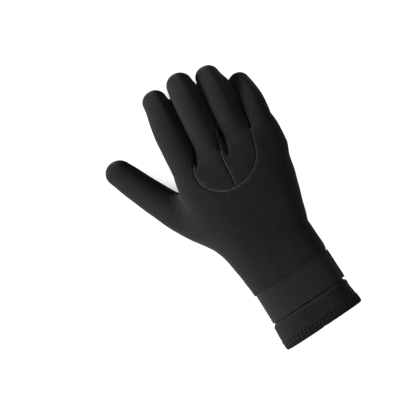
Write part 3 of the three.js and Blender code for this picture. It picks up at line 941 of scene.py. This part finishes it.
def tube(path, radius, sides=5):
    """A closed thread along a path of points, with rounded-off ends."""
    path = np.asarray(path, float)
    forward = np.gradient(path, axis=0)
    forward /= np.maximum(np.linalg.norm(forward, axis=1)[:, None], 1e-9)
    reference = np.array([0.0, 0.0, 1.0]) if abs(forward[0, 2]) < 0.8 else np.array([1.0, 0.0, 0.0])
    side = np.cross(forward, reference)
    side /= np.maximum(np.linalg.norm(side, axis=1)[:, None], 1e-9)
    up = np.cross(side, forward)
    angle = np.linspace(0, 2 * math.pi, sides, endpoint=False)
    widths = np.full(len(path), radius)
    widths[0] = widths[-1] = radius * 0.45
    ring = (np.cos(angle)[None, :, None] * side[:, None] + np.sin(angle)[None, :, None] * up[:, None])
    points = (path[:, None] + ring * widths[:, None, None]).reshape(-1, 3)
    n = len(path)
    a = (np.arange(n - 1)[:, None] * sides + np.arange(sides)[None]).ravel()
    b = (np.arange(n - 1)[:, None] * sides + (np.arange(sides)[None] + 1) % sides).ravel()
    quads = np.stack([a, a + sides, b + sides, b], -1)
    points = np.vstack([points, path[0] - forward[0] * radius * 0.5, path[-1] + forward[-1] * radius * 0.5])
    j = np.arange(sides)
    last = (n - 1) * sides
    fans = np.vstack([
        np.stack([np.full(sides, len(points) - 2), j, (j + 1) % sides], -1),
        np.stack([np.full(sides, len(points) - 1), last + (j + 1) % sides, last + j], -1),
    ])
    return points, quads, fans


def join_threads(name, paths, radius, thread):
    """Many threads as one piece."""
    points, quads, fans, start = [], [], [], 0
    for path in paths:
        p, q, f = tube(path, radius)
        points.append(p)
        quads.append(q + start)
        fans.append(f + start)
        start += len(p)
    made = make_object(name, np.vstack(points), [np.vstack(quads), np.vstack(fans)], [MATERIALS[thread]])
    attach(made, "root")


def walk(line, pitch):
    """Points at equal steps along a line, and the directions there."""
    line = np.asarray(line, float)
    length = np.concatenate([[0], np.cumsum(np.linalg.norm(np.diff(line, axis=0), axis=1))])
    at = np.arange(0, length[-1], pitch)
    points = np.stack([np.interp(at, length, line[:, i]) for i in range(line.shape[1])], -1)
    forward = np.gradient(points, axis=0)
    return points, forward / np.maximum(np.linalg.norm(forward, axis=1)[:, None], 1e-9)


def find_surface(plan, from_top, lift):
    """Plan points moved up or down onto the glove, and whether each has found it."""
    plan = np.asarray(plan, float)
    step = -1 if from_top else 1
    start, end = -1.5, KNUCKLE_TOP + 4.0
    z = np.full(len(plan), end if from_top else start)
    for _ in range(60):
        d = sample(OUTSIDE, np.column_stack([plan, z]))
        z = np.clip(z + step * np.where(d > 0.05, np.clip(d * 0.8, 0.04, 4), 0), start, end)
    found = np.abs(sample(OUTSIDE, np.column_stack([plan, z]))) < 0.8
    return settle(OUTSIDE, np.column_stack([plan, z]), lift), found


def seam_threads(line, pitch, half, lift, from_top=True):
    """Short slanted stitches over a seam, seen from above or from below."""
    centres, forward = walk(line, pitch)
    across = np.column_stack([forward[:, 1], -forward[:, 0]])
    slant = across * half + forward * pitch / 2
    rows, all_found = [], True
    for k in np.linspace(-1, 1, 5):
        row, found = find_surface(centres + slant * k, from_top, lift)
        row[:, 2] = np.maximum(row[:, 2], THREAD + 0.02)
        rows.append(row)
        all_found = all_found & found
    return [np.array(p) for p, ok in zip(zip(*rows), all_found) if ok]


def ring_walk(y, pitch):
    """Angles at equal steps round the wrist's section at y."""
    angles = np.linspace(0, 2 * math.pi, 721)
    ring = section_point(np.full(721, float(y)), angles, 0.0)
    length = np.concatenate([[0], np.cumsum(np.linalg.norm(np.diff(ring, axis=0), axis=1))])
    count = round(length[-1] / pitch)
    return np.interp(np.arange(count) * length[-1] / count, length, angles), 2 * math.pi / count


def hem_threads():
    """A zigzag overlock round the cuff, which wraps over its cut edge: its strokes and its knots."""
    strokes, knots = [], []
    angles, step = ring_walk(3.0, HEM_PITCH)
    y, off = HEM_STROKE.T
    spread = HEM_APART - HEM_CLOSING * np.clip(y / HEM_HEIGHT, 0, 1)
    for angle in angles:
        for lean in (-1, 1):
            turn = angle + lean * step * spread
            path = np.array([section_point(np.array(a), np.array(b), c) for a, b, c in zip(y, turn, off)])
            path[3:] = settle(OUTSIDE, path[3:], 0.15)
            path[:, 2] = np.maximum(path[:, 2], HEM_RADIUS + (off < -1) * WALL)
            strokes.append(path)
        # A knot where two strokes meet
        knot = np.array([section_point(np.array(HEM_HEIGHT + 0.2), np.array(angle + step * k), 0.0)
                         for k in (-0.22, -0.1, 0.1, 0.22)])
        knot = settle(OUTSIDE, knot, 0.35)
        knot[:, 2] = np.maximum(knot[:, 2], KNOT_RADIUS)
        knots.append(knot)
    return strokes, knots


def edge_cord():
    """The overlock's thread along the cuff's cut edge."""
    angles = np.linspace(0, 2 * math.pi, 181)
    path = section_point(np.full(181, 0.0), angles, -0.55)
    path[:, 1] = cuff_end(path) + 0.1
    path[:, 2] = np.maximum(path[:, 2], KNOT_RADIUS)
    return [path]


def tab_threads():
    """The stitched border of the tab, and the seam where it is sewn to the band."""
    off = BAND_OUTER + LAYER_GAP + TAB_THICK + 0.08
    inner, outer, middle = STRAP_START + TAB_MARGIN, STRAP_END - TAB_MARGIN, (STRAP_START + STRAP_END) / 2
    degree = math.degrees(1) / (CUFF_WIDTH / 2)
    first, last = TAB_FROM + 2.6 * degree, TAB_TO - 3.0 * degree
    corner = TAB_CORNER - TAB_MARGIN
    outline = [(last, outer)]
    turns = np.linspace(0, math.pi / 2, 7)
    for edge, inwards, order in ((outer, -1, turns), (inner, 1, turns[::-1])):
        for turn in order:
            along, across = corner * (1 - math.sin(turn)), corner * (1 - math.cos(turn))
            outline.append((first + along * degree, edge + inwards * across))
    outline += [(last, inner), (last, middle), (last, outer)]
    flat = np.array([(a / degree, y) for a, y in outline])
    dots, forward = walk(flat, TAB_PITCH)
    paths = []
    for place, ahead in zip(dots, forward):
        a = np.array([place + ahead * k for k in (-0.8, -0.3, 0.3, 0.8)])
        lift = off + np.array([-0.15, 0.1, 0.1, -0.15])
        paths.append(np.array([strap_point(np.array(y), np.radians(x * degree), c)
                               for (x, y), c in zip(a, lift)]))
    return paths


def honeycomb(points):
    """Distance from the middle of the nearest cell, as a share of the way to its border."""
    pitch = np.array([CELL, CELL * math.sqrt(3)])
    best = np.full(len(points), 9.0)
    for shift in ((0, 0), pitch / 2):
        q = (points + shift) % pitch - pitch / 2
        x, y = np.abs(q).T
        best = np.minimum(best, np.maximum(x, x / 2 + y * math.sqrt(3) / 2) / (CELL / 2))
    return best


# The print reaches over this plan rectangle, as far as the palm panel does
PRINT_ACROSS, PRINT_ALONG = (-88, 70), (55, 246)


def grip_dots():
    """Rubber dots printed on the palm in hexagon cells."""
    (left, right), (near, far) = PRINT_ACROSS, PRINT_ALONG
    x, y = np.meshgrid(np.arange(left, right, DOT_PITCH), np.arange(near, far, DOT_PITCH * math.sqrt(3) / 2))
    x[1::2] += DOT_PITCH / 2
    plan = np.column_stack([x.ravel(), y.ravel()])
    plan = plan[honeycomb(plan) < CELL_FILL]
    points, found = find_surface(plan, False, 0)
    normal = slope_of(OUTSIDE, points)
    keep = found & (normal[:, 2] < -0.25) & (sample(PALM_FIELD, points) < -1.3)
    keep &= np.abs(sample(OUTSIDE, points)) < 0.15
    points, normal = points[keep], normal[keep]
    side = np.cross(normal, [0.0, 1.0, 0.0])
    side /= np.linalg.norm(side, axis=1)[:, None]
    ahead = np.cross(normal, side)
    turn = np.linspace(0, 2 * math.pi, DOT_SIDES, endpoint=False)
    circle = np.cos(turn)[None, :, None] * side[:, None] + np.sin(turn)[None, :, None] * ahead[:, None]
    rings = []
    for wide, height in ((1.0, -DOT_SINK), (0.9, DOT_HEIGHT * 0.6), (0.5, DOT_HEIGHT)):
        rings.append(points[:, None] + normal[:, None] * height + DOT_RADIUS * wide * circle)
    corners = np.stack(rings, 1)
    corners[..., 2] = np.maximum(corners[..., 2], 0.02)
    start = (np.arange(len(points)) * 3 * DOT_SIDES)[:, None]
    j = np.arange(DOT_SIDES)
    k = (j + 1) % DOT_SIDES
    band = start[:, :, None] + np.stack([j, k, k + DOT_SIDES, j + DOT_SIDES], -1)[None]
    quads = np.concatenate([(band + level * DOT_SIDES).reshape(-1, 4) for level in (0, 1)])
    caps = start + 2 * DOT_SIDES + j[None]
    made = make_object("grip_dots", corners.reshape(-1, 3), [quads, caps], [MATERIALS["rubber"]])
    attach(made, "root")


upper_stitches = (seam_threads(YOKE_CURVE, SEAM_PITCH, SEAM_HALF, SEAM_LIFT)
                  + seam_threads(INSET_CURVE[2:], SEAM_PITCH, SEAM_HALF, SEAM_LIFT))
join_threads("inset_stitches", upper_stitches, THREAD, "pale_thread")
heel_plan = HEEL_CURVE[np.abs(HEEL_CURVE[:, 0]) < CUFF_WIDTH / 2 + 4]
heel_stitches = seam_threads(heel_plan, HEEL_PITCH, HEEL_HALF, HEEL_LIFT, from_top=False)
join_threads("heel_stitches", heel_stitches, THREAD, "pale_thread")
strokes, knots = hem_threads()
join_threads("hem_stitches", strokes, HEM_RADIUS, "hem_thread")
join_threads("hem_knots", knots + edge_cord(), KNOT_RADIUS, "dark_thread")
join_threads("tab_stitches", tab_threads(), TAB_THREAD, "tab_thread")
grip_dots()


# Camera, light and floor

FRAME_WIDTH = 0.3345
CAMERA_HEIGHT = 4.0
SENSOR = 36
FLOOR_GLOW = 1.04
FILL = 0.14
LOOK_AT = (-0.0282, 0.1344, 0.022)
RIGHT, UP = (0.8308, -0.5566, 0.0), (0.5566, 0.8308, 0.0)
# name, right, up, above, size, power
LIGHTS = [
    ("key", -1.8, -0.7, 1.15, 0.9, 41),
    ("side", -2.2, -0.2, 0.30, 0.8, 34),
    ("edge", 2.0, -0.3, 0.90, 1.0, 7),
]
FLOOR_HALF = 6.0
# The share of open sky at which the floor's glow starts and is full; the darkening below it is a painted
# contact shadow
PAINTED_SHADOW_RANGE = (0.06, 0.30)


def add_camera():
    camera = bpy.data.cameras.new("camera")
    camera.sensor_width = SENSOR
    camera.lens = SENSOR * CAMERA_HEIGHT / FRAME_WIDTH
    camera.clip_start, camera.clip_end = 0.05, 50
    made = bpy.data.objects.new("camera", camera)
    bpy.context.scene.collection.objects.link(made)
    made.matrix_world = Matrix((
        (RIGHT[0], UP[0], 0, LOOK_AT[0]),
        (RIGHT[1], UP[1], 0, LOOK_AT[1]),
        (0, 0, 1, LOOK_AT[2] + CAMERA_HEIGHT),
        (0, 0, 0, 1),
    ))
    bpy.context.scene.camera = made


def add_light(name, right, up, above, size, power):
    light = bpy.data.lights.new(name, "AREA")
    light.shape = "DISK"
    light.size = size
    light.energy = power
    made = bpy.data.objects.new(name, light)
    bpy.context.scene.collection.objects.link(made)
    offset = right * Vector(RIGHT) + up * Vector(UP) + above * Vector((0, 0, 1))
    made.location = Vector(LOOK_AT) + offset
    made.rotation_euler = (-offset).to_track_quat("-Z", "Y").to_euler()


def add_floor():
    mesh = bpy.data.meshes.new("floor")
    corners = [(x * FLOOR_HALF, y * FLOOR_HALF, 0) for x, y in ((-1, -1), (1, -1), (1, 1), (-1, 1))]
    mesh.from_pydata(corners, [], [(0, 1, 2, 3)])
    material, tree, bsdf = shader("white_floor", (0.30, 0.30, 0.30), 0.95)
    # The floor glows evenly white of itself and lights nothing. Its glow fades with ambient occlusion, a
    # painted contact shadow under and beside the glove, over the real shadows the lamps cast on its grey base
    painted_shadow_occlusion = node(tree, "ShaderNodeAmbientOcclusion", Distance=0.05, samples=16)
    glow = node(tree, "ShaderNodeMapRange")
    glow.inputs["From Min"].default_value, glow.inputs["From Max"].default_value = PAINTED_SHADOW_RANGE
    glow.inputs["To Max"].default_value = FLOOR_GLOW
    tree.links.new(painted_shadow_occlusion.outputs["AO"], glow.inputs["Value"])
    tree.links.new(glow.outputs["Result"], bsdf.inputs["Emission Strength"])
    bsdf.inputs["Emission Color"].default_value = (1, 1, 1, 1)
    mesh.materials.append(material)
    floor = bpy.data.objects.new("floor", mesh)
    bpy.context.scene.collection.objects.link(floor)
    floor.visible_diffuse = False
    floor.visible_glossy = False


def add_world():
    world = bpy.data.worlds.new("world")
    world.use_nodes = True
    background = world.node_tree.nodes["Background"]
    background.inputs["Color"].default_value = (1, 1, 1, 1)
    background.inputs["Strength"].default_value = FILL
    bpy.context.scene.world = world


bpy.context.scene.view_settings.view_transform = "Standard"
add_camera()
add_floor()
add_world()
for row in LIGHTS:
    add_light(*row)
